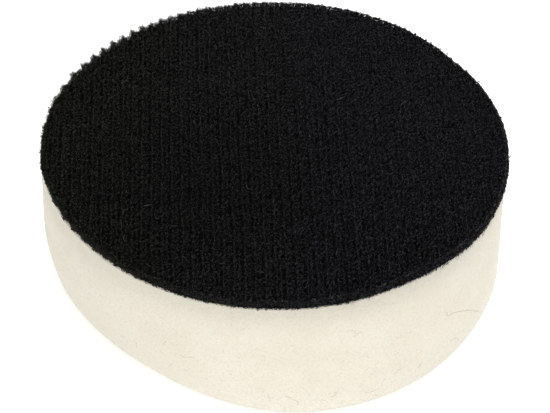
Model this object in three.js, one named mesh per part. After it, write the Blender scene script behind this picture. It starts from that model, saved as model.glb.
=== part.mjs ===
// Round foam polishing pad, lying on its working face with the loop fabric up.
//
// It is a laminate, built up as the real one is: an open-cell foam disc, a hot-melt film over its top,
// the knitted ground cloth that the film bonds down, and the brushed loop pile that stands out of the
// cloth and grips the hooks of a backing plate. Nothing in it moves.
//
// Units are millimetres, +Z is up, and the origin is the centre of the foam's working face.

import * as THREE from "three";

// Driving dimensions. The heights are whole quarters of a millimetre, so that each layer's top plane
// and the next layer's bottom plane are exactly the same number.
const PAD_DIAMETER = 80;
const PAD_HEIGHT = 25;
const PILE_HEIGHT = 1;
const CLOTH_THICKNESS = 0.5;
const FILM_THICKNESS = 0.25;
const CLOTH_OVERHANG = 0.375; // the loop fabric is cut a little proud of the foam
const FILM_SETBACK = 0.5; // the film stops short of the foam's cut wall
const WORKING_EDGE_RADIUS = 1.75; // ground round the rim of the working face
const PILE_EDGE_RADIUS = 0.5; // loops lean over the rim and round it off

// Fineness of the turned faces
const SEGMENTS_AROUND = 120;
const SEGMENTS_PER_EDGE = 6;

// Dimensions worked out from the ones above
const PAD_RADIUS = PAD_DIAMETER / 2;
const FOAM_RADIUS = PAD_RADIUS - CLOTH_OVERHANG;
const FILM_RADIUS = FOAM_RADIUS - FILM_SETBACK;
const FOAM_HEIGHT = PAD_HEIGHT - PILE_HEIGHT - CLOTH_THICKNESS - FILM_THICKNESS;
const FILM_BOTTOM = FOAM_HEIGHT;
const CLOTH_BOTTOM = FILM_BOTTOM + FILM_THICKNESS;
const PILE_BOTTOM = CLOTH_BOTTOM + CLOTH_THICKNESS;

// Sub-part colours
const FOAM_CREAM = 0xf5eedd;
const FILM_GREY = 0xb9b4a6;
const CLOTH_BLACK = 0x141415;
const PILE_BLACK = 0x1b1b1c;

function material(colour, roughness) {
  return new THREE.MeshStandardMaterial({ color: colour, roughness, metalness: 0 });
}

// Quarter circle about (centreRadius, centreHeight), from one angle to the other, both ends included.
function edgeArc(centreRadius, centreHeight, radius, fromAngle, toAngle) {
  const points = [];
  for (let step = 0; step <= SEGMENTS_PER_EDGE; step += 1) {
    const angle = fromAngle + ((toAngle - fromAngle) * step) / SEGMENTS_PER_EDGE;
    const across = centreRadius + radius * Math.cos(angle);
    const up = centreHeight + radius * Math.sin(angle);
    points.push(new THREE.Vector2(across, up));
  }
  return points;
}

// Turned disc: a half profile of (radius, height) points, from the axis at the bottom to the axis at
// the top, revolved about Z.
function turnedDisc(name, profile, finish, bottom) {
  const geometry = new THREE.LatheGeometry(profile, SEGMENTS_AROUND);
  geometry.rotateX(Math.PI / 2);
  const disc = new THREE.Mesh(geometry, finish);
  disc.name = name;
  disc.position.z = bottom;
  return disc;
}

// Open-cell foam: a straight cut wall, with the rim of the working face ground round.
function foamDisc() {
  const profile = [new THREE.Vector2(0, 0)];
  const arcCentre = FOAM_RADIUS - WORKING_EDGE_RADIUS;
  profile.push(...edgeArc(arcCentre, WORKING_EDGE_RADIUS, WORKING_EDGE_RADIUS, -Math.PI / 2, 0));
  profile.push(new THREE.Vector2(FOAM_RADIUS, FOAM_HEIGHT));
  profile.push(new THREE.Vector2(0, FOAM_HEIGHT));
  return turnedDisc("foam_disc", profile, material(FOAM_CREAM, 0.95), 0);
}

// Flat disc with square edges, for the two thin layers in the middle.
function flatLayer(name, radius, thickness, finish, bottom) {
  const profile = [
    new THREE.Vector2(0, 0),
    new THREE.Vector2(radius, 0),
    new THREE.Vector2(radius, thickness),
    new THREE.Vector2(0, thickness),
  ];
  return turnedDisc(name, profile, finish, bottom);
}

// Hot-melt film that bonds the cloth to the foam.
function adhesiveFilm() {
  return flatLayer("adhesive_film", FILM_RADIUS, FILM_THICKNESS, material(FILM_GREY, 0.5), FILM_BOTTOM);
}

// Knitted ground cloth that holds the roots of the loops.
function loopBacking() {
  return flatLayer("loop_backing", PAD_RADIUS, CLOTH_THICKNESS, material(CLOTH_BLACK, 0.9), CLOTH_BOTTOM);
}

// Space that the standing loops fill: flat on top, where they touch the hooks, and round at the rim.
function loopPile() {
  const profile = [new THREE.Vector2(0, 0), new THREE.Vector2(PAD_RADIUS, 0)];
  const arcCentre = PAD_RADIUS - PILE_EDGE_RADIUS;
  const arcHeight = PILE_HEIGHT - PILE_EDGE_RADIUS;
  profile.push(...edgeArc(arcCentre, arcHeight, PILE_EDGE_RADIUS, 0, Math.PI / 2));
  profile.push(new THREE.Vector2(0, PILE_HEIGHT));
  return turnedDisc("loop_pile", profile, material(PILE_BLACK, 0.95), PILE_BOTTOM);
}

const polishingPad = new THREE.Group();
polishingPad.name = "polishing_pad";
polishingPad.add(foamDisc(), adhesiveFilm(), loopBacking(), loopPile());

export default polishingPad;
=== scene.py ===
"""Looks of a round foam polishing pad: cream open-cell foam under a black brushed loop fabric.

The pad lies on its working face with the fabric up. Lengths are in metres, +Z is up, and the origin is
the centre of the working face. Angles round the pad are in degrees from +X towards +Y, so -90 is the
front and 180 is the left.
"""
import math

import bpy
import numpy as np
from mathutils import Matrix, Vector


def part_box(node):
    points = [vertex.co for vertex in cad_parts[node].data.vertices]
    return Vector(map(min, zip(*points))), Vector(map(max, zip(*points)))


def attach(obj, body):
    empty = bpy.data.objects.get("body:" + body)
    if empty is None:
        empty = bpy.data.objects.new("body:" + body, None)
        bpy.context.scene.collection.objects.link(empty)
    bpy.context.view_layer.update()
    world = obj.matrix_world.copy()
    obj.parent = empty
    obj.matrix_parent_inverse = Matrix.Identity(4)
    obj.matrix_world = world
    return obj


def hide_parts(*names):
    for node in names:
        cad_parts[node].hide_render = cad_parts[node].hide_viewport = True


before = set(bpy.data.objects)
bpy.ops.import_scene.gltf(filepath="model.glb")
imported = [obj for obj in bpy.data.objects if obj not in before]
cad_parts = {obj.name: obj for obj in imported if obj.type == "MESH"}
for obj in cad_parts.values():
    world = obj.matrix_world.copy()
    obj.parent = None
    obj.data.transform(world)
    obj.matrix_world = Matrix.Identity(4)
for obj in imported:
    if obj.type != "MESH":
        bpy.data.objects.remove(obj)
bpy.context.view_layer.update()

MM = 0.001
UP = np.array([0.0, 0.0, 1.0])
BAKE_MAP = "OFBake"  # a piece's own UV map for baking

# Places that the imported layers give
FOAM_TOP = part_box("foam_disc")[1].z
FOAM_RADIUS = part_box("foam_disc")[1].x
FILM_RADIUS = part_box("adhesive_film")[1].x
CLOTH_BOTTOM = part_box("loop_backing")[0].z
CLOTH_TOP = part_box("loop_backing")[1].z
PAD_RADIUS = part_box("loop_pile")[1].x
PAD_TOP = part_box("loop_pile")[1].z
PILE_HEIGHT = PAD_TOP - CLOTH_TOP

# Loop fabric. Its ribs run almost along Y, and each is a tall wale of loops with a short one beside it.
RIB_PITCH = 1.69 * MM
SHORT_WALE = 0.42  # where the short wale stands, as a share of the way to the next tall one
COURSE_PITCH = 0.66 * MM  # from one loop to the next along a wale
RIB_LEAN = math.radians(2.4)  # the ribs run this far off +Y, towards -X at the back
RIB_SHIFT = -0.84 * MM  # from the centre to a rib's crest beside it
BRUSHED_WAY = 55  # the way that the pile is combed, in degrees
PIT_WAY = 40  # the way that the pits between loops are drawn out, in degrees
TUFT_LEAN = np.array([0.2, 0.98, 0.0])  # the way that tufts at the back left lean
LOOP_LEAN = 0.30 * MM  # how far across the ribs a loop's crown hangs from its root
CROWN_PITCH = 0.42 * MM  # side of the square that each brushed crown has to itself
CLOTH_GRID = (241, 121)  # points across the ribs and along them
MAT_GRID = (301, 161)
MAT_INSET = 0.25 * MM  # how far the pile's matted floor stops short of the cut edge
PIECES_PER_LAYER = 4  # the loops are dealt into this many pieces, and so are the crowns over them
ROOT_DEPTH = 0.1 * MM  # how far the pile's roots go down into the cloth
STRAND_SIDES = 3


# ------------------------------------------------------------------ numbers and curves

def lattice_random(cell, seed):
    """A repeatable number from 0 to 1 for each whole-number cell (..., 3): its coordinates are
    multiplied by large odd numbers, folded together bit by bit, and stirred."""
    cell = cell.astype(np.int64)
    mixed = cell[..., 0] * 73856093 ^ cell[..., 1] * 19349663 ^ cell[..., 2] * 83492791 ^ seed * 2654435761
    mixed = (mixed ^ (mixed >> 13)) & 0xFFFFFFFF
    mixed = mixed * 1274126177 & 0xFFFFFFFF
    mixed = mixed ^ (mixed >> 16)
    return (mixed & 0xFFFFFF) / 0x1000000


def soft_noise(points, size, seed):
    """Value noise from -1 to 1: a random number at each corner of a cubic lattice of that size,
    joined across each cube with smoothstep weights."""
    scaled = points / size
    base = np.floor(scaled)
    weight = smoothstep(scaled - base, 0, 1)
    total = np.zeros(points.shape[:-1])
    for corner in np.ndindex(2, 2, 2):
        share = np.where(np.array(corner) == 1, weight, 1 - weight).prod(-1)
        total += share * lattice_random(base + np.array(corner), seed)
    return 2 * total - 1


def smoothstep(value, start, end):
    """0 before start, 1 after end, and the cubic 3t^2 - 2t^3 between them."""
    t = np.clip((value - start) / (end - start), 0, 1)
    return t * t * (3 - 2 * t)


def hump(degrees, centre, before, after):
    """A raised cosine round the pad: 1 at centre, falling to 0 at the spread before or after it."""
    off = (degrees - centre + 180) % 360 - 180
    spread = np.where(off < 0, before, after)
    return 0.5 + 0.5 * np.cos(np.pi * np.clip(np.abs(off) / spread, 0, 1))


def polar(radius, degrees, height):
    """Points from radius, angle and height, broadcast together."""
    angle = np.radians(degrees)
    return np.stack(np.broadcast_arrays(radius * np.cos(angle), radius * np.sin(angle), height), -1)


def unit(vectors):
    """The same directions, each at length 1."""
    return vectors / np.maximum(np.linalg.norm(vectors, axis=-1, keepdims=True), 1e-12)


# ------------------------------------------------------------------ meshes

def make_piece(name, points, polygons, finish, corner_uv=None, values=None):
    """A smooth mesh object from points (n, 3) and a list of face arrays, each (faces, sides).
    corner_uv holds a place on the bake map for each face corner, and values a number per point."""
    corners = np.concatenate([p.ravel() for p in polygons]).astype(np.int32)
    sides = np.concatenate([np.full(len(p), p.shape[1]) for p in polygons])
    starts = np.concatenate([[0], np.cumsum(sides)[:-1]]).astype(np.int32)
    mesh = bpy.data.meshes.new(name)
    mesh.vertices.add(len(points))
    mesh.vertices.foreach_set("co", points.astype(np.float32).ravel())
    mesh.loops.add(len(corners))
    mesh.loops.foreach_set("vertex_index", corners)
    mesh.polygons.add(len(sides))
    mesh.polygons.foreach_set("loop_start", starts)
    mesh.polygons.foreach_set("use_smooth", np.ones(len(sides), bool))
    mesh.update(calc_edges=True)
    if corner_uv is not None:
        layer = mesh.uv_layers.new(name=BAKE_MAP)
        layer.uv.foreach_set("vector", corner_uv.astype(np.float32).ravel())
    for label, numbers in (values or {}).items():
        attribute = mesh.attributes.new(label, "FLOAT", "POINT")
        attribute.data.foreach_set("value", numbers.astype(np.float32).ravel())
    mesh.materials.append(finish)
    piece = bpy.data.objects.new(name, mesh)
    bpy.context.scene.collection.objects.link(piece)
    return piece


def turned_faces(rows, columns):
    """Faces of a closed turned body: quads between its rings, and a fan of triangles to a pole at
    each end. Points are numbered ring by ring, then the first pole, then the last."""
    ring, column = np.meshgrid(np.arange(rows - 1), np.arange(columns), indexing="ij")
    after = (column + 1) % columns
    here = ring * columns
    above = here + columns
    quads = np.stack([here + column, here + after, above + after, above + column], -1).reshape(-1, 4)
    column = np.arange(columns)
    after = (column + 1) % columns
    last = (rows - 1) * columns
    first_pole = np.full(columns, rows * columns)
    low_fan = np.stack([after, column, first_pole], -1)
    high_fan = np.stack([last + column, last + after, first_pole + 1], -1)
    return [quads, low_fan, high_fan]


def strand_mesh(name, paths, radius, finish, values):
    """Strands along many paths at once. paths is (strands, steps, 3) and radius matches it.
    Each ring's first direction is the one before it, laid flat across the path again, and its second
    is the path's direction crossed with the first; a corner is the path's point plus the radius times
    the cosine and sine of its angle along those two. Both ends are closed."""
    strands, steps = paths.shape[:2]
    sides = STRAND_SIDES
    along = unit(np.gradient(paths, axis=1))
    helper = np.where(np.abs(along[:, :1] @ UP)[..., None] > 0.9, [1.0, 0.0, 0.0], UP)
    first = np.empty_like(paths)
    first[:, 0] = unit(np.cross(along[:, 0], helper[:, 0]))
    for step in range(1, steps):
        before = first[:, step - 1]
        leaning = (before * along[:, step]).sum(-1, keepdims=True)
        first[:, step] = unit(before - leaning * along[:, step])
    second = np.cross(along, first)
    angle = np.arange(sides) * 2 * np.pi / sides
    ring = np.cos(angle)[:, None] * first[:, :, None] + np.sin(angle)[:, None] * second[:, :, None]
    points = paths[:, :, None] + radius[:, :, None, None] * ring

    places = (np.arange(count) for count in (strands, steps - 1, sides))
    strand, step, side = np.meshgrid(*places, indexing="ij")
    after = (side + 1) % sides
    here = (strand * steps + step) * sides
    above = here + sides
    quads = np.stack([here + side, here + after, above + after, above + side], -1).reshape(-1, 4)
    first_ring = np.arange(strands)[:, None] * steps * sides
    low_end = first_ring + np.arange(sides)[::-1]
    high_end = first_ring + (steps - 1) * sides + np.arange(sides)

    cells = math.ceil(math.sqrt(strands))
    u = np.stack([side, side + 1, side + 1, side], -1) / sides
    v = np.stack([step, step, step + 1, step + 1], -1) / (steps - 1)
    quad_uv = cell_uv(strand[..., None], cells, u, v).reshape(-1, 2)
    end_u = 0.5 + 0.1 * np.cos(angle)
    end_v = 0.5 + 0.1 * np.sin(angle)
    end_uv = cell_uv(np.arange(strands)[:, None], cells, end_u, end_v).reshape(-1, 2)
    corner_uv = np.concatenate([quad_uv, end_uv, end_uv])
    spread = {label: np.repeat(numbers, sides, axis=1) for label, numbers in values.items()}
    return make_piece(name, points.reshape(-1, 3), [quads, low_end, high_end], finish, corner_uv, spread)


def dealt_strands(name, across, paths, radius, finish, shade, count):
    """Strands as strand_mesh makes them, dealt into count pieces that hold equal numbers of them, in
    the order of their places across the pad."""
    order = np.argsort(np.argsort(across))
    bands = [order * count // len(paths) == i for i in range(count)]
    return [
        strand_mesh(f"{name}_{i + 1}", paths[band], radius[band], finish, {"shade": shade[band]})
        for i, band in enumerate(bands)
    ]


def moved(amount, direction):
    """Offsets (strands, steps, 3) for amounts (strands, steps), each strand's along its own direction or
    all along one."""
    return amount[..., None] * direction[..., None, :]


def cell_uv(index, cells, u, v):
    """A place (u, v) from 0 to 1 inside one square cell of a map that is divided into cells x cells,
    drawn in a little from the cell's edge."""
    inset = 0.08
    u = inset + (1 - 2 * inset) * u
    v = inset + (1 - 2 * inset) * v
    return np.stack(np.broadcast_arrays((index % cells + u) / cells, (index // cells + v) / cells), -1)


# ------------------------------------------------------------------ finishes

FOAM_WARM = (0.658, 0.613, 0.520, 1)
FOAM_PALE = (0.675, 0.636, 0.547, 1)
# painted light: the paler tone of the wall's lowest part, as if lit from the white table
FOAM_BOUNCE_LIT = (0.71, 0.675, 0.592, 1)
# painted shade: the grey that the wall is darkened towards, nearer the fabric
FOAM_SHADE_BAND = (0.49, 0.46, 0.39, 1)
# partly black dust from the fabric and partly painted shade
FOAM_DUST_AND_SHADE = (0.34, 0.345, 0.32, 1)
# painted shade inside the open pores
FOAM_PORE_SHADE = (0.42, 0.36, 0.27, 1)
FILM_DULL = (0.42, 0.40, 0.35, 1)
FILM_CLEAR = (0.55, 0.53, 0.47, 1)
CLOTH_DEEP = (0.001, 0.001, 0.001, 1)
CLOTH_WORN = (0.004, 0.004, 0.004, 1)
PILE_DARK = (0.001, 0.001, 0.001, 1)
# painted light: the pile's pale tone, warmer on the left and cooler on the right, for light of two colours
PILE_PALE_WARM_LIT = (0.0295, 0.0295, 0.0225)
PILE_PALE_COOL_LIT = (0.0285, 0.0290, 0.0340)
DARK_PATCH = (-12 * MM, -10 * MM, PAD_TOP)  # the middle of a darker patch on the pile
# size of the flecks: single filaments, partly painted glints off them
FLECK_SIZE = (0.6 * MM, 0.25 * MM, 0.5 * MM)
LINT_DULL = (0.10, 0.10, 0.10, 1)
LINT_PALE = (0.15, 0.15, 0.145, 1)
TABLE_WHITE = (0.93, 0.93, 0.93, 1)
TABLE_PALE = (0.90, 0.90, 0.90, 1)
SHADE_BAND_DEPTH = 16 * MM  # how far below the fabric the painted shade band reaches
DUST_AND_SHADE_DEPTH = 4.5 * MM  # how far below the fabric the grey of dust and painted shade reaches


class Value:
    """A number or a colour from a node. Arithmetic on it adds Math nodes to the same finish."""

    def __init__(self, finish, socket):
        self.finish = finish
        self.socket = socket

    def math(self, operation, first, second):
        return self.finish.node("ShaderNodeMath", {"operation": operation}, {0: first, 1: second})

    def __add__(self, other):
        return self.math("ADD", self, other)

    __radd__ = __add__

    def __sub__(self, other):
        return self.math("SUBTRACT", self, other)

    def __rsub__(self, other):
        return self.math("SUBTRACT", other, self)

    def __mul__(self, other):
        return self.math("MULTIPLY", self, other)

    __rmul__ = __mul__

    def __abs__(self):
        return self.math("ABSOLUTE", self, 0)


class Finish:
    """A material being made: its node tree, and the Principled shader that it ends in."""

    def __init__(self, name, **uniform):
        self.material = bpy.data.materials.new(name)
        self.material.use_nodes = True
        self.tree = self.material.node_tree
        self.shader = self.tree.nodes["Principled BSDF"]
        for socket, value in uniform.items():
            self.shader.inputs[socket.replace("_", " ")].default_value = value

    def node(self, kind, settings, sockets, output=0):
        """Adds any node: its settings first, then a value or a link for each socket."""
        made = self.tree.nodes.new(kind)
        for name, value in settings.items():
            if name == "stops":
                set_stops(made.color_ramp, value)
            else:
                setattr(made, name, value)
        for name, value in sockets.items():
            if isinstance(value, Value):
                self.tree.links.new(value.socket, made.inputs[name])
            else:
                made.inputs[name].default_value = value
        return Value(self, made.outputs[output])

    def mix(self, share, first, second):
        """The first colour where share is 0 and the second where it is 1."""
        return self.node("ShaderNodeMix", {"data_type": "RGBA"}, {0: share, 6: first, 7: second}, 2)

    def ramp(self, value, *stops):
        """A smooth curve through (position, level) stops, read as a number."""
        return self.node("ShaderNodeValToRGB", {"stops": stops}, {"Fac": value})

    def span(self, value, start, end):
        """0 at start, 1 at end, and straight between them."""
        return self.node("ShaderNodeMapRange", {}, {"Value": value, "From Min": start, "From Max": end})

    def place(self):
        """Where a point is, in the piece's own coordinates."""
        return self.node("ShaderNodeTexCoord", {}, {}, "Object")

    def noise(self, where, scale, detail=2.0, roughness=0.5):
        """Soft clouds, from about 0 to 1."""
        sockets = {"Vector": where, "Scale": scale, "Detail": detail, "Roughness": roughness}
        return self.node("ShaderNodeTexNoise", {}, sockets)

    def cells(self, where, scale):
        """Distance from the middle of the nearest of many scattered cells."""
        return self.node("ShaderNodeTexVoronoi", {"feature": "F1"}, {"Vector": where, "Scale": scale})

    def component(self, vector, axis):
        """A vector's X, Y or Z."""
        return self.node("ShaderNodeSeparateXYZ", {}, {"Vector": vector}, axis)

    def attribute(self, name):
        """A number that the mesh holds at each point."""
        return self.node("ShaderNodeAttribute", {"attribute_name": name}, {}, "Fac")

    def bump(self, height, depth, strength=1.0):
        """Tilts the surface as if height, from 0 to 1, stood up by depth."""
        sockets = {"Height": height, "Distance": depth, "Strength": strength}
        return self.node("ShaderNodeBump", {}, sockets)

    def feed(self, **varying):
        """Links what varies over the surface to the shader's sockets, and gives the finished material."""
        for socket, value in varying.items():
            self.tree.links.new(value.socket, self.shader.inputs[socket.replace("_", " ")])
        return self.material


def set_stops(ramp, stops):
    """Gives a colour ramp its (position, level) stops, joined by smooth curves."""
    ramp.interpolation = "EASE"
    while len(ramp.elements) < len(stops):
        ramp.elements.new(0.5)
    for element, (position, level) in zip(ramp.elements, stops):
        element.position = position
        element.color = (level, level, level, 1)


def foam_finish():
    """Cream polyurethane foam: faint warm and cool clouds, a peppering of fine open pores that are painted
    darker as the shade inside them, and painted light and shade on the wall: paler at its lowest part, as
    if lit from the white table, and greyer towards the fabric. A grey band at the top of the wall, most
    on the right, is partly black dust from the fabric and partly painted shade under its edge, and the
    wall's left and right ends are painted darker as shade."""
    f = Finish("foam", Roughness=0.9, Specular_IOR_Level=0.35, Subsurface_Weight=0.2,
               Subsurface_Scale=0.0015, Subsurface_Radius=(1.0, 0.9, 0.8))
    place = f.place()
    across = f.component(place, "X")
    height = f.component(place, "Z")
    facing = f.component(f.node("ShaderNodeNewGeometry", {}, {}, "Normal"), "Z")
    wall = f.span(facing, 0.9, 0.3)

    clouds = f.ramp(f.noise(place, 110.0, 3.0), (0.35, 0.0), (0.65, 1.0))
    # painted light: the lowest 8 mm of the wall turn paler, as if lit from the white table below
    painted_bounce_light = f.ramp(f.span(height, 8 * MM, 0), (0.0, 0.0), (1.0, 1.0))
    body = f.mix(painted_bounce_light, f.mix(clouds, FOAM_WARM, FOAM_PALE), FOAM_BOUNCE_LIT)

    ragged = height + 0.0035 * (f.noise(place, 300.0, 3.0) - 0.5)
    # painted shade: the wall greys more and more towards the fabric over its upper 16 mm, more on the wall
    # than on the top face
    painted_shade_band = f.ramp(f.span(ragged, FOAM_TOP - SHADE_BAND_DEPTH, FOAM_TOP), (0.0, 0.0), (0.5, 0.33), (1.0, 1.0))
    shade_banded = f.mix((0.15 + 0.40 * wall) * painted_shade_band, body, FOAM_SHADE_BAND)

    speckled = height + 0.003 * (f.noise(place, 1300.0, 2.0) - 0.5)
    # partly dust and partly painted shade: a grey band just under the fabric's edge, weighted to the right
    dust = f.ramp(f.span(speckled, FOAM_TOP - DUST_AND_SHADE_DEPTH, FOAM_TOP), (0.0, 0.0), (0.5, 0.25), (1.0, 1.0))
    # painted shade: the wall is darker towards its left and right ends, which turn away from the light
    ends = f.span(abs(across), 12 * MM, 42 * MM)
    dust_and_shade = dust * f.span(across, -40 * MM, 20 * MM) + 0.50 * ends
    dusted_and_shaded = f.mix(0.32 * wall * dust_and_shade, shade_banded, FOAM_DUST_AND_SHADE)

    # painted shade: the open pores are painted darker and warmer, for the shade inside them; the grain is
    # the foam's own
    pores = f.ramp(f.cells(place, 3000.0), (0.12, 1.0), (0.36, 0.0))
    low = f.span(height, 0.7 * FOAM_TOP, 0.1 * FOAM_TOP)
    sparse = f.ramp(f.noise(place, 1500.0, 1.0) + 0.06 * low, (0.48, 0.0), (0.66, 1.0))
    grain = f.noise(place, 2600.0, 2.0, 0.7)
    speck = 0.55 * pores * sparse + 0.17 * f.ramp(grain, (0.4, 0.0), (0.7, 1.0))
    relief = f.bump(grain - 0.6 * pores, 0.09 * MM, 0.8)
    return f.feed(Base_Color=f.mix(speck, dusted_and_shaded, FOAM_PORE_SHADE), Normal=relief)


def film_finish():
    """Hot-melt film: a milky plastic with a faint stretched grain."""
    f = Finish("hot_melt_film", Roughness=0.45, Specular_IOR_Level=0.4)
    grain = f.noise(f.place(), 900.0, 3.0)
    return f.feed(Base_Color=f.mix(grain, FILM_DULL, FILM_CLEAR), Normal=f.bump(grain, 0.04 * MM))


def cloth_finish():
    """Ground cloth under the pile: deep black, with a fine yarn grain."""
    f = Finish("ground_cloth", Roughness=0.85, Specular_IOR_Level=0.1)
    grain = f.noise(f.place(), 3000.0, 2.0)
    return f.feed(Base_Color=f.mix(grain, CLOTH_DEEP, CLOTH_WORN), Normal=f.bump(grain, 0.05 * MM))


def pile_finish(name, roughness, specular, gain=1.0):
    """Black textured nylon, with painted light: a little warmer on the left and cooler on the right, for
    warmer light on the left and cooler light on the right. Each strand has a shade of its own, and flecks
    that are drawn out along the brushed direction stand for its single filaments and partly for painted
    glints off them. The pile is darker round one place. gain lightens its pale tones, as painted light
    where a paler copy is made."""
    f = Finish(name, Roughness=roughness, Specular_IOR_Level=specular)
    left, right = ((*(gain * c for c in pale), 1) for pale in (PILE_PALE_WARM_LIT, PILE_PALE_COOL_LIT))
    place = f.place()
    way = (0, 0, math.radians(BRUSHED_WAY))
    drawn_out = {"Vector": place, "Rotation": way, "Scale": FLECK_SIZE}
    # partly painted highlights: flecks drawn out along the brushed direction, for glints off single
    # filaments
    flecks = f.noise(f.node("ShaderNodeMapping", {"vector_type": "TEXTURE"}, drawn_out), 1.0, 1.0, 0.5)
    apart = {0: place, 1: DARK_PATCH}
    patch_distance = f.node("ShaderNodeVectorMath", {"operation": "DISTANCE"}, apart, "Value")
    patch_gain = 2.05 - 0.65 * f.ramp(f.span(patch_distance, 29 * MM, 6 * MM), (0.0, 0.0), (1.0, 1.0))
    share = f.attribute("shade") * patch_gain * f.ramp(flecks, (0.40, 0.0), (0.60, 1.0))
    # painted light: the pale tone goes from warm on the left to cool on the right
    pale = f.mix(f.span(f.component(place, "X"), -25 * MM, 8 * MM), left, right)
    return f.feed(Base_Color=f.mix(share, PILE_DARK, pale))


def lint_finish():
    """Pale lint, with a faint change of shade along it."""
    f = Finish("lint", Roughness=0.8, Specular_IOR_Level=0.1)
    return f.feed(Base_Color=f.mix(f.noise(f.place(), 2000.0), LINT_DULL, LINT_PALE))


def stage_finish():
    """Matt white tabletop, with a trace of unevenness."""
    f = Finish("tabletop", Roughness=0.8, Specular_IOR_Level=0.2,
               Emission_Color=(1, 1, 1, 1), Emission_Strength=0.2)
    return f.feed(Base_Color=f.mix(f.noise(f.place(), 6.0), TABLE_WHITE, TABLE_PALE))


# ------------------------------------------------------------------ foam

FOAM_COLUMNS = 900
FACE_RINGS = 17
EDGE_RINGS = 9
WALL_RINGS = 77
TOP_RINGS = 4
FOAM_EDGE = 1.75 * MM  # radius round the rim of the working face
SLUMP_DEPTH = 3.7 * MM  # how far the lower left front of the wall has rolled under
SLUMP_HEIGHT = 11.5 * MM
SLUMP_POWER = 1.5
SLUMP_CENTRE = -135
SLUMP_SPREAD = (73, 54)
LEFT_BULGE = 0.5 * MM
LEFT_CENTRE = 195
LEFT_SPREAD = 65
FOOT_FLARE = 1.25 * MM  # how far the right front of the foot has spread
FOOT_CENTRE = -66
FOOT_SPREAD = 50
PINCH = 0.55 * MM  # how far lamination has drawn in the wall's upper end along the front
PINCH_HEIGHT = 3 * MM


def front_share(degrees):
    """1 along the pad's front, falling smoothly to 0 at its right and left ends."""
    return smoothstep(-np.sin(np.radians(degrees + 8)), 0.35, 0.8)


def foam_profile():
    """Half profile of the foam as (radius, height) rows, from beside the axis below to beside it
    above: the flat working face, the quarter circle of its rim, the wall and the flat top."""
    face = np.linspace(0.04, 1, FACE_RINGS + 1)[:-1] * (FOAM_RADIUS - FOAM_EDGE)
    turn = np.linspace(0, np.pi / 2, EDGE_RINGS)
    wall = np.linspace(FOAM_EDGE, FOAM_TOP, WALL_RINGS + 1)[1:]
    top = np.linspace(1, 0.05, TOP_RINGS + 1)[1:] * FOAM_RADIUS
    rim_out = FOAM_RADIUS - FOAM_EDGE + FOAM_EDGE * np.sin(turn)
    rim_up = FOAM_EDGE - FOAM_EDGE * np.cos(turn)
    radius = [face, rim_out, np.full(len(wall), FOAM_RADIUS), top]
    height = [np.zeros(len(face)), rim_up, wall, np.full(len(top), FOAM_TOP)]
    return np.concatenate(radius), np.concatenate(height)


def wall_offset(degrees, height):
    """How far the wall stands out from a true cylinder. The slump is a hump round the pad times a
    power of the height left below its upper end. The bulge is a hump, and the flare a hump that fades
    upwards. The pinch is a smoothstep at the upper end, along the front and the left front."""
    slump = SLUMP_DEPTH * hump(degrees, SLUMP_CENTRE, *SLUMP_SPREAD)
    slump = slump * np.clip(1 - height / SLUMP_HEIGHT, 0, 1) ** SLUMP_POWER
    left = hump(degrees, LEFT_CENTRE, LEFT_SPREAD, LEFT_SPREAD)
    flare = FOOT_FLARE * hump(degrees, FOOT_CENTRE, FOOT_SPREAD, FOOT_SPREAD) * (1 - height / FOAM_TOP)
    drawn = np.minimum(front_share(degrees) + 0.7 * hump(degrees, -158, 30, 30), 1)
    pinch = PINCH * smoothstep(height, FOAM_TOP - PINCH_HEIGHT, FOAM_TOP) * drawn
    return LEFT_BULGE * left + flare - slump - pinch


def foam_body(finish):
    """Turned body: its profile is carried round the axis and pushed out or in by wall_offset, fully at
    the wall and less towards the middle. Noise at three sizes roughens the wall outwards and the
    working face upwards."""
    radius, height = foam_profile()
    degrees = np.arange(FOAM_COLUMNS) * 360 / FOAM_COLUMNS
    share = smoothstep(radius, 0.55 * FOAM_RADIUS, FOAM_RADIUS)
    pushed = radius[:, None] + wall_offset(degrees[None], height[:, None]) * share[:, None]
    points = polar(pushed, degrees[None], height[:, None])
    lumps = 0.06 * soft_noise(points, 5 * MM, 1) + 0.035 * soft_noise(points, 1.1 * MM, 2)
    lumps = (lumps + 0.03 * soft_noise(points, 0.4 * MM, 3)) * MM
    out = polar(1.0, degrees[None], np.zeros((len(radius), 1)))
    on_wall = smoothstep(height, 0, FOAM_EDGE) * smoothstep(radius, 0.8 * FOAM_RADIUS, FOAM_RADIUS)
    points = points + (lumps * on_wall[:, None])[..., None] * out
    on_face = (height < 1e-9)[:, None]
    points[..., 2] += np.where(on_face, np.abs(lumps), 0)
    poles = np.array([[0, 0, 0], [0, 0, FOAM_TOP]])
    faces = turned_faces(len(radius), FOAM_COLUMNS)
    points = np.concatenate([points.reshape(-1, 3), poles])
    return make_piece("foam_body", points, faces, finish, foam_uv(faces, len(radius), height))


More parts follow.
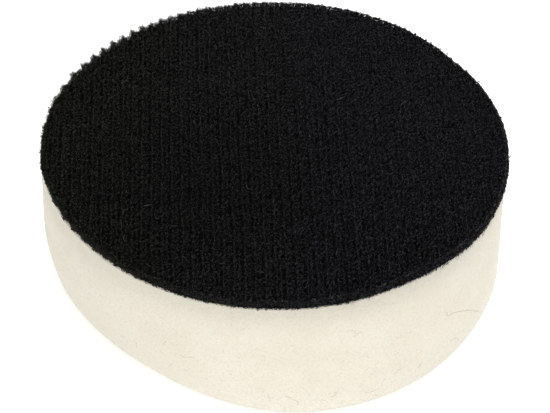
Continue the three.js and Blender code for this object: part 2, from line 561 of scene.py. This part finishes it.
def foam_uv(faces, rows, height):
    """Bake map of the foam: the wall is cut into eight arcs, stacked as eight strips across the upper
    three quarters of the map, and the flat faces share the strip below them."""
    arcs = 8
    per_arc = FOAM_COLUMNS // arcs
    wall_first = int(np.argmax(height > 1e-9)) - 1
    wall_last = int(np.argmax(height >= FOAM_TOP - 1e-9))
    quads = np.arange(len(faces[0]))
    ring, column = quads // FOAM_COLUMNS, quads % FOAM_COLUMNS
    ring = ring[:, None] + np.array([0, 0, 1, 1])
    column = column[:, None] + np.array([0, 1, 1, 0])
    arc = (quads % FOAM_COLUMNS // per_arc)[:, None]
    along = (column - arc * per_arc) / per_arc
    up = (ring - wall_first) / (wall_last - wall_first)
    on_wall = ((ring >= wall_first) & (ring <= wall_last)).all(1)[:, None]
    strip = 0.25 + (arc + 0.04 + 0.92 * np.clip(up, 0, 1)) / arcs * 0.75
    flat_u = column / FOAM_COLUMNS
    below, above = ring / wall_first, 1 + (rows - 1 - ring) / (rows - wall_last)
    flat_v = 0.01 + 0.11 * np.where(ring < wall_first, below, above)
    quad_u = np.where(on_wall, 0.01 + 0.98 * along, flat_u)
    quad_uv = np.stack([quad_u, np.where(on_wall, strip, flat_v)], -1)
    fan_u = np.arange(FOAM_COLUMNS)[:, None] / FOAM_COLUMNS + np.array([1, 0, 0.5]) / FOAM_COLUMNS
    low = np.stack(np.broadcast_arrays(fan_u, np.array([0.01, 0.01, 0.0])), -1)
    high_u = np.arange(FOAM_COLUMNS)[:, None] / FOAM_COLUMNS + np.array([0, 1, 0.5]) / FOAM_COLUMNS
    high = np.stack(np.broadcast_arrays(high_u, np.array([0.125, 0.125, 0.12])), -1)
    return np.concatenate([quad_uv.reshape(-1, 2), low.reshape(-1, 2), high.reshape(-1, 2)])


def bond_film(finish):
    """Thin turned disc, set back most along the front, whose rim wanders in and out with noise, where the
    melt has crept."""
    columns = 360
    degrees = np.arange(columns) * 360 / columns
    set_back = (0.3 + 0.4 * front_share(degrees)) * MM
    creep = 0.2 * MM * soft_noise(polar(PAD_RADIUS, degrees, 0), 6 * MM, 11) - set_back
    radius = np.array([0.5, 0.9, 1.0, 1.0, 0.9, 0.5]) * FILM_RADIUS
    height = np.repeat([FOAM_TOP, CLOTH_BOTTOM], 3)
    at_rim = np.array([0, 0, 1, 1, 0, 0])
    points = polar(radius[:, None] + at_rim[:, None] * creep, degrees[None], height[:, None])
    poles = np.array([[0, 0, FOAM_TOP], [0, 0, CLOTH_BOTTOM]])
    points = np.concatenate([points.reshape(-1, 3), poles])
    return make_piece("bond_film", points, turned_faces(len(radius), columns), finish)


# ------------------------------------------------------------------ loop fabric

# Swells of the cut edge: how far each stands out in millimetres, the place of its middle, and how far it
# spreads before and after that, in degrees
RIM_SWELLS = (
    (0.20, 163, 22, 20),
    (-0.40, 36, 16, 16),
    (0.30, 68, 30, 30),
    (-0.12, 98, 16, 22),
    (-0.30, -155, 25, 14),
    (-0.24, 141, 22, 22),
)


def rim_radius(degrees):
    """The fabric's cut edge. It was laid a little off centre, so it falls short of the foam along the
    front and stands out past it on the left and at the back. A slight wander and the swells are the
    cutter's. The ribs' ends scallop it at the left front and the back left, where it is shaggiest."""
    rim = polar(PAD_RADIUS, degrees, 0)
    ends = -0.15 + 0.28 * hump(degrees, 90, 90, 90) ** 0.5 - 0.85 * front_share(degrees)
    for amount, centre, before, after in RIM_SWELLS:
        ends = ends + amount * hump(degrees, centre, before, after)
    scallop = bump_at(across_ribs(rim), 0, 0.45) - 0.4
    ends = ends + scallop * (0.16 * hump(degrees, -150, 35, 40) + 0.44 * hump(degrees, 138, 38, 38))
    ends = ends + 0.14 * soft_noise(rim, 1.9 * MM, 22) * hump(degrees, -150, 50, 60)
    return PAD_RADIUS + (ends + 0.10 * soft_noise(rim, 7 * MM, 21)) * MM


def meander(points):
    """How far a rib strays sideways, in rib widths: two sizes of noise."""
    return 0.09 * soft_noise(points, 4 * MM, 61) + 0.05 * soft_noise(points, 1.3 * MM, 62)


def across_ribs(points):
    """Distance across the ribs from the nearest crest, in whole and part rib widths."""
    across = points[..., 0] * math.cos(RIB_LEAN) + points[..., 1] * math.sin(RIB_LEAN)
    return (across - RIB_SHIFT) / RIB_PITCH - meander(points)


def bump_at(across, centre, spread):
    """A raised cosine on every rib: 1 at centre, falling to 0 at the spread, all in rib widths."""
    off = (across - centre + 0.5) % 1 - 0.5
    return 0.5 + 0.5 * np.cos(np.pi * np.clip(np.abs(off) / spread, 0, 1))


def calmness(points):
    """How closely the nap lies, from 0 on the left and in front to 1 at the back and on the right."""
    return smoothstep(0.9 * points[..., 0] + points[..., 1], 0, 0.9 * PAD_RADIUS)


def pit_depth(points):
    """Small pits where the pile stands open, one to a cell of a lattice half a rib wide and a course
    long, with every other column half a course on. Each is an oval drawn out along PIT_WAY, moved and
    sized by random numbers of its cell's own: 1 at its floor and 0 outside it. Brushing scatters them,
    and the nap half closes over them where it lies calm."""
    across = 2 * across_ribs(points)
    along = points[..., 1] * math.cos(RIB_LEAN) - points[..., 0] * math.sin(RIB_LEAN)
    along = along / COURSE_PITCH
    scatter = 0.55 + 0.4 * brushing(points)
    turn = math.radians(PIT_WAY)
    depth = np.zeros(points.shape[:-1])
    for step in np.ndindex(3, 3):
        column = np.floor(across) + step[0] - 1
        half = 0.5 * (column % 2)
        row = np.floor(along - half) + step[1] - 1
        chance = [lattice_random(np.stack([column, row, np.full_like(row, k)], -1), 46) for k in range(4)]
        east = (across - column - 0.5 - scatter * (chance[0] - 0.5)) * 0.5 * RIB_PITCH
        north = (along - row - half - 0.5 - 0.7 * (chance[1] - 0.5)) * COURSE_PITCH
        long = east * math.cos(turn) + north * math.sin(turn)
        short = north * math.cos(turn) - east * math.sin(turn)
        size = (0.13 + 0.04 * (column % 2) + 0.13 * chance[2]) * MM
        oval = 1 - smoothstep(np.hypot(long / 1.8, short) / size, 0.5, 1.2)
        depth = np.maximum(depth, oval * (chance[3] < 0.85))
    return depth * (1 - 0.4 * calmness(points))


def rib_level(points, brushed):
    """Height of the pile's surface as a share of the tall loops: a crest, a lower shoulder beside it
    and a groove, evened out where the ribs are brushed."""
    across = across_ribs(points)
    level = 0.62 + 0.25 * bump_at(across, 0, 0.34) + 0.12 * bump_at(across, SHORT_WALE, 0.26)
    level = level + 0.5 * brushed * (0.80 - level)
    return level * (1 - 0.55 * pit_depth(points))


def pressed_disc(name, finish, inset, bottom, surface, grid):
    """A square grid pressed into a disc by x = s sqrt(1 - t^2 / 2) and its twin in y, as far out as the
    fabric's rim less the inset. surface gives the heights of its upper side, which comes down to its
    base near the rim. A wall joins it to the underside, one flat face on the same rim. The shade is
    evenly dark, and goes to black in the pits as painted shade."""
    s, t = (np.linspace(-1, 1, points) for points in grid)
    s, t = np.meshgrid(s, t, indexing="ij")
    x = s * np.sqrt(1 - t * t / 2)
    y = t * np.sqrt(1 - s * s / 2)
    reach = rim_radius(np.degrees(np.arctan2(y, x))) - inset
    flat = np.stack([x * reach, y * reach, np.zeros_like(x)], -1)
    top = flat + UP * surface(flat, smoothstep(1 - np.hypot(x, y), 0, 0.01))[..., None]
    rows, columns = s.shape
    number = np.arange(rows * columns).reshape(rows, columns)
    quads = [number[:-1, :-1], number[1:, :-1], number[1:, 1:], number[:-1, 1:]]
    quads = np.stack(quads, -1).reshape(-1, 4)
    rim = np.concatenate([number[:-1, 0], number[-1, :-1], number[:0:-1, -1], number[0, :0:-1]])
    below = top.reshape(-1, 3)[rim] * [1, 1, 0] + UP * bottom
    low_rim = rows * columns + np.arange(len(rim))
    wall = np.stack([low_rim, rim, np.roll(rim, -1), np.roll(low_rim, -1)], -1)
    points = np.concatenate([top.reshape(-1, 3), below])
    # painted shade: the matted floor goes to black in the pits, where shade falls
    shade = 0.15 * (1 - pit_depth(points))
    return make_piece(name, points, [quads, wall, low_rim[None, ::-1]], finish, None, {"shade": shade})


def cloth_surface(flat, inside):
    """Ground cloth's upper side: a swell on each rib, a cosine ripple from course to course and a little
    noise."""
    swell = bump_at(across_ribs(flat), 0.5 * SHORT_WALE, 0.5)
    courses = 0.5 + 0.5 * np.cos(np.pi * flat[..., 1] / COURSE_PITCH)
    relief = 0.16 * swell + 0.05 * courses + 0.04 * soft_noise(flat, 0.8 * MM, 31)
    return CLOTH_TOP - 0.18 * MM + relief * MM * inside


def mat_surface(flat, inside):
    """Upper side of the matted roots of the pile: about half the pile's own level, broken up by noise."""
    level = 0.55 * rib_level(flat, brushing(flat))
    rough = 0.10 * soft_noise(flat, 0.9 * MM, 32) + 0.07 * soft_noise(flat, 0.4 * MM, 33)
    return CLOTH_TOP + (level + rough) * inside * PILE_HEIGHT


def brushing(points):
    """How far the ribs are brushed out, from 0 on the left to 1 on the right and at the back."""
    x, y = points[..., 0] / PAD_RADIUS, points[..., 1] / PAD_RADIUS
    drift = 0.25 * soft_noise(points, 14 * MM, 41)
    return smoothstep(0.75 * x + 0.35 * y + drift, -0.35, 0.75)


def loop_roots(course_pitch, jitter, rng):
    """Roots on a lattice: wales across, courses along, each wale half a course on from the last. Every
    root is moved by a random share of both pitches and strays as its rib does, and those outside the
    rim are dropped. Also gives whether a root's wale is a tall one."""
    half = PAD_RADIUS + 2 * MM
    wale = np.arange(-2 * int(half / RIB_PITCH), 2 * int(half / RIB_PITCH) + 2)
    course = np.arange(-int(half / course_pitch), int(half / course_pitch) + 1)
    wale, course = (a.ravel() for a in np.meshgrid(wale, course))
    tall = wale % 2 == 0
    across = wale // 2 + np.where(tall, 0, SHORT_WALE) + jitter * rng.normal(size=len(wale))
    across = across * RIB_PITCH + RIB_SHIFT - LOOP_LEAN
    along = (course + 0.5 * (wale % 2) + 0.25 * rng.normal(size=len(wale))) * course_pitch
    x = across * math.cos(RIB_LEAN) - along * math.sin(RIB_LEAN)
    y = across * math.sin(RIB_LEAN) + along * math.cos(RIB_LEAN)
    x = x + RIB_PITCH * meander(np.stack([x, y, np.zeros(len(x))], -1))
    inside = np.hypot(x, y) < rim_radius(np.degrees(np.arctan2(y, x))) - 0.12 * MM
    roots = np.stack([x, y, np.full(len(x), CLOTH_TOP - ROOT_DEPTH)], -1)
    return roots[inside], tall[inside]


def headings(degrees):
    """Level unit vectors at these angles."""
    return polar(1.0, degrees, 0)


def splay(points, lean):
    """Turns a level direction outwards near the rim, where nothing holds the loops up. Gives the new
    direction, and how near the rim each point is from 0 to 1."""
    radius = np.hypot(points[..., 0], points[..., 1])
    degrees = np.degrees(np.arctan2(points[..., 1], points[..., 0]))
    near = smoothstep(radius, rim_radius(degrees) - 1.1 * MM, rim_radius(degrees) - 0.2 * MM)
    return unit(lean * (1 - 0.75 * near)[..., None] + headings(degrees) * near[..., None]), near


def pile_loops(finish, count):
    """Loops of the pile. Each is a leaning hairpin: over t from 0 to 1 it climbs by sin(pi t) to the
    power 0.6, goes out along its lean by sin(pi t) to the power 1.5, and swings to one side and back by
    sin(2 pi t). Each is painted darkest at its roots, and darker where it grows in a pit, as shade down
    in the pile."""
    rng = np.random.default_rng(7)
    roots, tall = loop_roots(COURSE_PITCH, 0.05, rng)
    number = len(roots)
    brushed = brushing(roots)
    sway = rng.normal(size=(number, 4))
    roots[:, :2] += (0.13 * MM * brushed)[:, None] * sway[:, 2:4]
    heading = 48 + 12 * soft_noise(roots, 4 * MM, 42) + (12 + 6 * brushed) * sway[:, 0]
    lean, near = splay(roots, headings(heading))
    cross = np.cross(UP, lean)
    at_rim = 1 + near * (0.25 * tall - 0.6 * calmness(roots))
    length = (0.45 + 0.30 * rng.random(number)) * at_rim * MM
    rise = np.where(tall, 0.90 - 0.16 * brushed, 0.54 + 0.18 * brushed) * PILE_HEIGHT
    rise = rise * (1 + 0.10 * sway[:, 1] + 0.08 * soft_noise(roots, 1.3 * MM, 43)) + ROOT_DEPTH
    half_width = (0.12 + 0.08 * rng.random(number)) * MM
    t = np.linspace(0, 1, 8)[None]
    arch = np.sin(np.pi * t)
    paths = (
        roots[:, None]
        + moved(length[:, None] * arch ** 1.5, lean)
        + moved(half_width[:, None] * np.sin(2 * np.pi * t), cross)
        + moved(rise[:, None] * arch ** 0.6, UP)
    )
    radius = np.broadcast_to((0.065 + 0.030 * rng.random(number))[:, None] * MM, paths.shape[:2])
    spread = 0.13 * (1 - 0.4 * calmness(roots))
    # painted shade: loops that grow in a pit are darker, and each is darkest down at its roots
    shade = np.clip(0.26 + spread * rng.normal(size=number), 0.0, 1.2) * (1 - 0.8 * pit_depth(roots))
    shade = shade[:, None] * (0.1 + 0.9 * arch ** 4)
    return dealt_strands("pile_loops", roots[:, 0], paths, radius, finish, shade, count)


def brushed_crowns(finish, count):
    """Yarn ends and crowns that brushing has laid over the loops. Each is a flat bow of which both ends
    dip into the pile: along its heading by t - 1/2, to one side by sin(pi t), and down by 1 - sin(pi t).
    They start from a square lattice, each moved at random within its cell, and pits stay clear."""
    rng = np.random.default_rng(57)
    side = np.arange(-PAD_RADIUS, PAD_RADIUS, CROWN_PITCH)
    middle = np.stack([a.ravel() for a in np.meshgrid(side, side, CLOTH_TOP)], -1)
    middle[:, :2] += CROWN_PITCH * rng.random((len(middle), 2))
    edge = rim_radius(np.degrees(np.arctan2(middle[:, 1], middle[:, 0])))
    keep = rng.random(len(middle)) < 1 - pit_depth(middle)
    keep &= np.hypot(middle[:, 0], middle[:, 1]) < edge
    middle = middle[keep]
    number = len(middle)
    even = 1 - 0.4 * calmness(middle)
    heading = BRUSHED_WAY + 6 * soft_noise(middle, 2.5 * MM, 58) + 10 * rng.normal(size=number)
    lean, near = splay(middle, headings(heading))
    cross = np.cross(UP, lean)
    length = (0.36 + 0.30 * rng.random(number)) * MM
    bow = 0.14 * rng.normal(size=number) * length
    level = rib_level(middle, brushing(middle)) + 0.10 - 0.25 * near ** 2
    top = (level + 0.10 * even * rng.normal(size=number)) * PILE_HEIGHT
    t = np.linspace(0, 1, 5)[None]
    arch = np.sin(np.pi * t)
    paths = (
        middle[:, None]
        + moved(length[:, None] * (t - 0.5), lean)
        + moved(bow[:, None] * arch, cross)
        + moved(top[:, None] - 0.28 * MM * (1 - arch), UP)
    )
    radius = (0.056 + 0.040 * rng.random(number))[:, None] * (0.5 + 0.5 * arch) * MM
    shade = np.clip(0.37 + 0.17 * even * rng.normal(size=number), 0.0, 1.6)
    # painted shade: both ends, where they dip into the pile, are darker
    shade = shade[:, None] * (0.25 + 0.75 * arch)
    return dealt_strands("brushed_crowns", middle[:, 0], paths, radius, finish, shade, count)


def wale_ridges(finish):
    """Brushed strands that lie along the wales and draw the ribs. Each bows up from its ends by
    sin(pi t) and drifts to one side and back by sin(2 pi t). Most lie on tall wales, and on the left."""
    rng = np.random.default_rng(17)
    roots, tall = loop_roots(0.8 * MM, 0.02, rng)
    keep = rng.random(len(roots)) < np.where(tall, 0.78 - 0.70 * brushing(roots), 0.05)
    roots, tall = roots[keep], tall[keep]
    number = len(roots)
    heading = 91 + 5 * rng.normal(size=number)
    near = splay(roots, headings(heading))[1]
    length = (0.8 + 0.9 * rng.random(number)) * (1 - 0.7 * near) * MM
    top = (0.86 + 0.08 * rng.random(number) - 0.22 * (~tall)) * PILE_HEIGHT
    t = np.linspace(0, 1, 7)[None]
    arch = np.sin(np.pi * t)
    drift = 0.05 * MM * rng.normal(size=(number, 1)) * np.sin(2 * np.pi * t)
    centre = roots + LOOP_LEAN * headings(np.full(number, math.degrees(RIB_LEAN)))
    paths = (
        centre[:, None]
        + moved(length[:, None] * (t - 0.5), headings(heading))
        + moved(drift, headings(heading + 90))
        + moved((top[:, None] + ROOT_DEPTH) * (0.55 + 0.45 * arch), UP)
    )
    radius = (0.034 + 0.020 * rng.random(number))[:, None] * (0.5 + 0.5 * arch) * MM
    shade = np.clip(0.45 + 0.15 * rng.normal(size=number), 0.1, 1.3)[:, None] * np.ones_like(t)
    return strand_mesh("wale_ridges", paths, radius, finish, {"shade": shade})


def nap_fibres(finish):
    """Loose filaments raised by brushing. Each starts in the pile, climbs to its surface and curls
    over: its heading turns at a steady rate along its length. None starts just short of the rim where
    the nap is combed towards it."""
    rng = np.random.default_rng(27)
    number = 6500
    spread = np.sqrt(rng.random(number)) * (PAD_RADIUS - 0.5 * MM)
    roots = polar(spread, 360 * rng.random(number), CLOTH_TOP + 0.55 * PILE_HEIGHT)
    ahead = roots + 1.2 * MM * headings(BRUSHED_WAY)
    keep = rng.random(number) < 0.5 + 0.5 * brushing(roots)
    keep &= np.hypot(ahead[:, 0], ahead[:, 1]) < PAD_RADIUS - 0.8 * MM
    roots = roots[keep]
    number = len(roots)
    steps = 6
    length = (0.8 + 1.1 * rng.random(number) ** 2) * MM
    heading = 50 + 38 * rng.normal(size=number)
    turning = 70 * rng.normal(size=number)
    t = np.linspace(0, 1, steps)[None]
    bearing = heading[:, None] + turning[:, None] * t
    step = length[:, None] / (steps - 1)
    run = headings(bearing) * step[..., None]
    walk = np.concatenate([np.zeros((number, 1, 3)), np.cumsum(run[:, :-1], axis=1)], 1)
    climb = (0.22 + 0.14 * rng.random(number))[:, None] * PILE_HEIGHT
    rise = climb * np.sin(np.pi * np.clip(1.15 * t, 0, 1)) ** 0.8
    paths = roots[:, None] + walk + rise[..., None] * UP
    radius = (0.016 + 0.012 * rng.random(number))[:, None] * (1 - 0.6 * t) * MM
    shade = np.clip(0.55 + 0.3 * rng.normal(size=number), 0.1, 1.6)[:, None] * np.ones_like(t)
    return strand_mesh("nap_fibres", paths, radius, finish, {"shade": shade})


def fringe_weight(degrees):
    """Where fibres hang over the cut edge: thickest at the right front, some along the front."""
    return 0.25 + 0.75 * hump(degrees, -38, 60, 45) + 0.25 * hump(degrees, -120, 50, 60)


def rim_tufts(finish):
    """Loose yarn ends that bush out round the rim, thick and long where a rib ends and sparse between
    ribs. Over t from 0 to 1 each goes outwards by sin(pi t / 2), rises and curls over by
    sin(0.8 pi t), and strays round the rim by random shares of t and of sin(pi t). They are shaggiest
    at the back left, where they lean along the ribs, and shortest on the right."""
    rng = np.random.default_rng(67)
    number = 12000
    degrees = 360 * rng.random(number)
    inset = 0.85 * rng.random(number) ** 1.3 * MM
    roots = polar(rim_radius(degrees) - inset, degrees, CLOTH_TOP)
    level = rib_level(roots, 0.6 * brushing(roots))
    keep = rng.random(number) < 0.35 + 0.65 * smoothstep(level, 0.55, 0.85)
    roots, degrees, level, inset = roots[keep], degrees[keep], level[keep], inset[keep]
    number = len(roots)
    t = np.linspace(0, 1, 5)[None]
    calm = 1 - 0.75 * smoothstep(roots[:, 0], -0.2 * PAD_RADIUS, 0.4 * PAD_RADIUS)
    shaggy = hump(degrees, 138, 42, 38) * bump_at(across_ribs(roots), 0, 0.45)
    longer = (0.45 + 0.55 * level) * (1 + 1.2 * shaggy)
    reach = (0.10 + 0.66 * rng.random(number) * calm) * longer * MM + 0.35 * inset
    lift = (0.35 + 0.62 * rng.random(number) ** 0.6 * calm) * level * PILE_HEIGHT
    swing = 0.20 * rng.normal(size=(2, number, 1)) * MM
    out = unit(headings(degrees) + 0.7 * shaggy[:, None] * TUFT_LEAN)
    paths = (
        roots[:, None]
        + moved(reach[:, None] * np.sin(0.5 * np.pi * t), out)
        + moved(swing[0] * t + swing[1] * np.sin(np.pi * t), headings(degrees + 90))
        + moved(0.12 * MM + lift[:, None] * np.sin(0.8 * np.pi * t), UP)
    )
    radius = (0.026 + 0.024 * rng.random(number))[:, None] * (1 - 0.45 * t) * MM
    # painted shade: each tuft is darker at its root in the pile than at its tip
    shade = np.clip(0.40 + 0.20 * rng.normal(size=number), 0.05, 1.2)[:, None] * (0.35 + 0.65 * t)
    return strand_mesh("rim_tufts", paths, radius, finish, {"shade": shade})


def rim_fleece(finish):
    """Matted fibres that cover the cut side of the fabric, in paler and darker clumps, darker towards the
    right and painted darker at their tucked-in ends as shade. Over t from 0 to 1 each bows outwards by
    sin(pi t), runs round the rim to one side and sinks as it goes."""
    rng = np.random.default_rng(77)
    number = 7200
    degrees = 360 * rng.random(number)
    t = np.linspace(0, 1, 5)[None]
    arch = np.sin(np.pi * t)
    start = CLOTH_BOTTOM + (0.05 + 1.45 * rng.random(number)) * MM
    inset = smoothstep(start, CLOTH_TOP + 0.1 * MM, PAD_TOP) * 0.45 * MM
    bow = (0.10 + 0.24 * rng.random(number) ** 1.5) * MM
    run = 0.36 * rng.normal(size=number) * MM
    sink = (0.05 + 0.55 * rng.random(number)) * MM
    rim = polar(PAD_RADIUS, degrees, start)
    scallop = 0.15 * MM * (bump_at(across_ribs(rim), 0, 0.42) - 0.45) * (1 - brushing(rim))
    radius = (rim_radius(degrees) + scallop - inset)[:, None] - 0.06 * MM + bow[:, None] * arch
    angle = degrees[:, None] + np.degrees(run[:, None] * (t - 0.5) / PAD_RADIUS)
    paths = polar(radius, angle, start[:, None] - sink[:, None] * t)
    thickness = (0.040 + 0.034 * rng.random(number))[:, None] * (0.55 + 0.45 * arch) * MM
    clump = 0.7 + 0.9 * soft_noise(rim, 0.45 * MM, 78)
    clump = clump * (1 - 0.35 * smoothstep(rim[:, 0], 0, 0.8 * PAD_RADIUS))
    # painted shade: each strand is darker at its tucked-in ends
    shade = np.clip(clump * (0.85 + 0.60 * rng.normal(size=number)), 0.0, 2.2)[:, None] * (0.2 + 0.8 * arch)
    return strand_mesh("rim_fleece", paths, thickness, finish, {"shade": shade})


def edge_fringe(finish):
    """Fibres that hang over the foam from the cut edge. Over t from 0 to 1 each goes outwards by
    sin(0.7 pi t), sags by t to the power 1.6 and sweeps round the pad by t."""
    rng = np.random.default_rng(37)
    number = 4200
    degrees = 360 * rng.random(number)
    keep = rng.random(number) < fringe_weight(degrees)
    degrees = degrees[keep]
    number = len(degrees)
    t = np.linspace(0, 1, 7)[None]
    drop = (0.25 + 1.5 * rng.random(number) ** 2.2 * fringe_weight(degrees)) * MM
    reach = (0.10 + 0.28 * rng.random(number)) * MM
    sweep = 0.55 * rng.normal(size=number)
    start = CLOTH_BOTTOM + (0.1 + 0.7 * rng.random(number)) * MM
    radius = rim_radius(degrees)[:, None] - 0.12 * MM + reach[:, None] * np.sin(np.pi * 0.7 * t)
    height = start[:, None] - drop[:, None] * t ** 1.6
    angle = degrees[:, None] + np.degrees(sweep[:, None] * drop[:, None] * t / PAD_RADIUS)
    paths = polar(radius, angle, height)
    thickness = (0.014 + 0.014 * rng.random(number))[:, None] * (1 - 0.55 * t) * MM
    shade = np.clip(0.35 + 0.2 * rng.normal(size=number), 0.05, 1.0)[:, None] * np.ones_like(t)
    return strand_mesh("edge_fringe", paths, thickness, finish, {"shade": shade})


def curled_walk(bearing, length):
    """Walks in steps of equal size, whose bearings in degrees are given step by step: how far along and
    how far up each walk has come, at its start and after each step."""
    size = (length / bearing.shape[1])[:, None]
    start = np.zeros((len(bearing), 1))
    along = np.cumsum(np.cos(np.radians(bearing)) * size, axis=1)
    up = np.cumsum(np.sin(np.radians(bearing)) * size, axis=1)
    return np.concatenate([start, along], 1), np.concatenate([start, up], 1)


def foam_hairs(finish):
    """Loose pile filaments that cling to the foam's wall. Each is a curled walk on the wall, whose
    bearing turns steadily and swings by a sine; the last is a long one with a hook at its start."""
    rng = np.random.default_rng(87)
    number = 16
    t = np.linspace(0, 1, 24)[None]
    swing = 25 * np.sin(2 * np.pi * (t * (0.5 + 0.8 * rng.random((number, 1))) + rng.random((number, 1))))
    bearing = 360 * rng.random((number, 1)) + 110 * rng.normal(size=(number, 1)) * t + swing
    hook = 85 * np.sin(2 * np.pi * t / 0.2) * (1 - smoothstep(t, 0, 0.25))
    bearing = np.concatenate([bearing, -24 - 24 * t - hook])
    length = np.append(0.9 + 2.3 * rng.random(number) ** 1.5, 16.0) * MM
    degrees = np.append(-152 + 116 * rng.random(number), -44)
    height = np.append(3 + 14 * rng.random(number), 12.5) * MM
    along, up = curled_walk(bearing, length)
    angle = degrees[:, None] + np.degrees(along / FOAM_RADIUS)
    level = height[:, None] + up
    paths = polar(FOAM_RADIUS + wall_offset(angle, level) + 0.07 * MM, angle, level)
    radius = np.append(np.full(number, 0.011), 0.014)[:, None] * np.ones_like(t) * MM
    radius = np.concatenate([radius[:, :1], radius], 1)
    return strand_mesh("foam_hairs", paths, radius, finish, {"shade": np.full(paths.shape[:2], 0.8)})


def fabric_lint(finish):
    """A few pale fibres of lint that lie on the pile, each a curled walk just above it."""
    rng = np.random.default_rng(97)
    number = 26
    t = np.linspace(0, 1, 12)[None]
    bearing = 360 * rng.random((number, 1)) + 60 * rng.normal(size=(number, 1)) * t
    along, up = curled_walk(bearing, (0.25 + 1.7 * rng.random(number) ** 3) * MM)
    spread = 0.93 * PAD_RADIUS * np.sqrt(rng.random(number))
    start = polar(spread, 360 * rng.random(number), PAD_TOP - 0.05 * MM)
    paths = start[:, None] + np.stack([along, up, np.zeros_like(up)], -1)
    return strand_mesh("fabric_lint", paths, np.full(paths.shape[:2], 0.022 * MM), finish, {})


# ------------------------------------------------------------------ stage, light and camera

TABLE_REACH = 30.0  # half the tabletop's width
SURROUND = 1.0  # strength of the light from all round
FRONT_PLACE = (0.02, -0.70, 0.33)
FRONT_SIZE = 0.45
FRONT_POWER = 1.78
RAKE_PLACE = (0.17, 0.58, 0.44)
RAKE_SIZE = 0.25
RAKE_POWER = 4.5
CAMERA_ELEVATION = math.radians(41.78)
CAMERA_DISTANCE = 506.3 * MM
CAMERA_AIM = np.array([0.13 * MM, 0.0, 10.8 * MM])
CAMERA_ROLL = math.radians(0.94)
CAMERA_LENS = 190


def table_top(finish):
    """One flat square, far larger than any view of the pad."""
    corners = TABLE_REACH * np.array([[-1, -1, 0], [1, -1, 0], [1, 1, 0], [-1, 1, 0]])
    floor = make_piece("table_top", corners, [np.array([[0, 1, 2, 3]])], finish)


def soft_lights():
    """A white surround that lights from everywhere, a broad lamp in front, and a smaller one behind the
    pad that shines along the ribs."""
    world = bpy.data.worlds.new("surround")
    world.use_nodes = True
    world.node_tree.nodes["Background"].inputs["Color"].default_value = (1.0, 1.0, 1.0, 1)
    world.node_tree.nodes["Background"].inputs["Strength"].default_value = SURROUND
    bpy.context.scene.world = world
    add_lamp("front_lamp", FRONT_PLACE, FRONT_SIZE, FRONT_POWER)
    add_lamp("rake_lamp", RAKE_PLACE, RAKE_SIZE, RAKE_POWER)


def add_lamp(name, place, size, power):
    """A square lamp that faces the pad."""
    lamp = bpy.data.lights.new(name, "AREA")
    lamp.shape = "SQUARE"
    lamp.size = size
    lamp.energy = power
    holder = bpy.data.objects.new(name, lamp)
    holder.location = place
    holder.rotation_euler = turn_towards([-c for c in place])
    bpy.context.scene.collection.objects.link(holder)


def turn_towards(direction):
    """Euler turn that points a lamp's or camera's -Z along direction, with its Y axis up."""
    return Vector(direction).to_track_quat("-Z", "Y").to_euler()


def pad_camera():
    """A long lens from the front and above, turned by a trace about its own axis."""
    back_along_view = np.array([0, -math.cos(CAMERA_ELEVATION), math.sin(CAMERA_ELEVATION)])
    data = bpy.data.cameras.new("camera")
    data.lens = CAMERA_LENS
    data.sensor_width = 36
    data.clip_start = 0.01
    camera = bpy.data.objects.new("camera", data)
    camera.location = CAMERA_AIM + CAMERA_DISTANCE * back_along_view
    camera.rotation_euler = turn_towards(-back_along_view)
    camera.rotation_euler.rotate_axis("Z", CAMERA_ROLL)
    bpy.context.scene.collection.objects.link(camera)
    bpy.context.scene.camera = camera


# ------------------------------------------------------------------ the pad

bpy.context.scene.view_settings.view_transform = "Standard"
pad_camera()
soft_lights()
table_top(stage_finish())

foam = foam_body(foam_finish())
film = bond_film(film_finish())
cloth = pressed_disc("ground_cloth", cloth_finish(), 0.0, CLOTH_BOTTOM, cloth_surface, CLOTH_GRID)

loop_material = pile_finish("loop_pile", 0.5, 0.07)
# partly painted light: a paler copy of the pile finish for the cut side, which the rake lamp does not
# reach, for the rim's fuzz against the white, and for the threads along the wales
pale_lit_material = pile_finish("pale_lit_pile", 0.5, 0.07, 1.6)
mat_material = pile_finish("pile_mat", 0.95, 0.02)
pile = [pressed_disc("pile_mat", mat_material, MAT_INSET, CLOTH_TOP - ROOT_DEPTH, mat_surface, MAT_GRID)]
pile += pile_loops(loop_material, PIECES_PER_LAYER)
pile += brushed_crowns(loop_material, PIECES_PER_LAYER)
pile += [
    wale_ridges(pale_lit_material),
    rim_tufts(pale_lit_material),
    rim_fleece(pale_lit_material),
    nap_fibres(loop_material),
    edge_fringe(loop_material),
    foam_hairs(loop_material),
    fabric_lint(lint_finish()),
]

for piece, node, slot in (
    (foam, "foam_disc", "foam"),
    (film, "adhesive_film", "hot_melt_film"),
    (cloth, "loop_backing", "ground_cloth"),
):
    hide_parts(node)
for piece in pile:
    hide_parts("loop_pile")
for piece in [foam, film, cloth] + pile:
    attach(piece, "root")
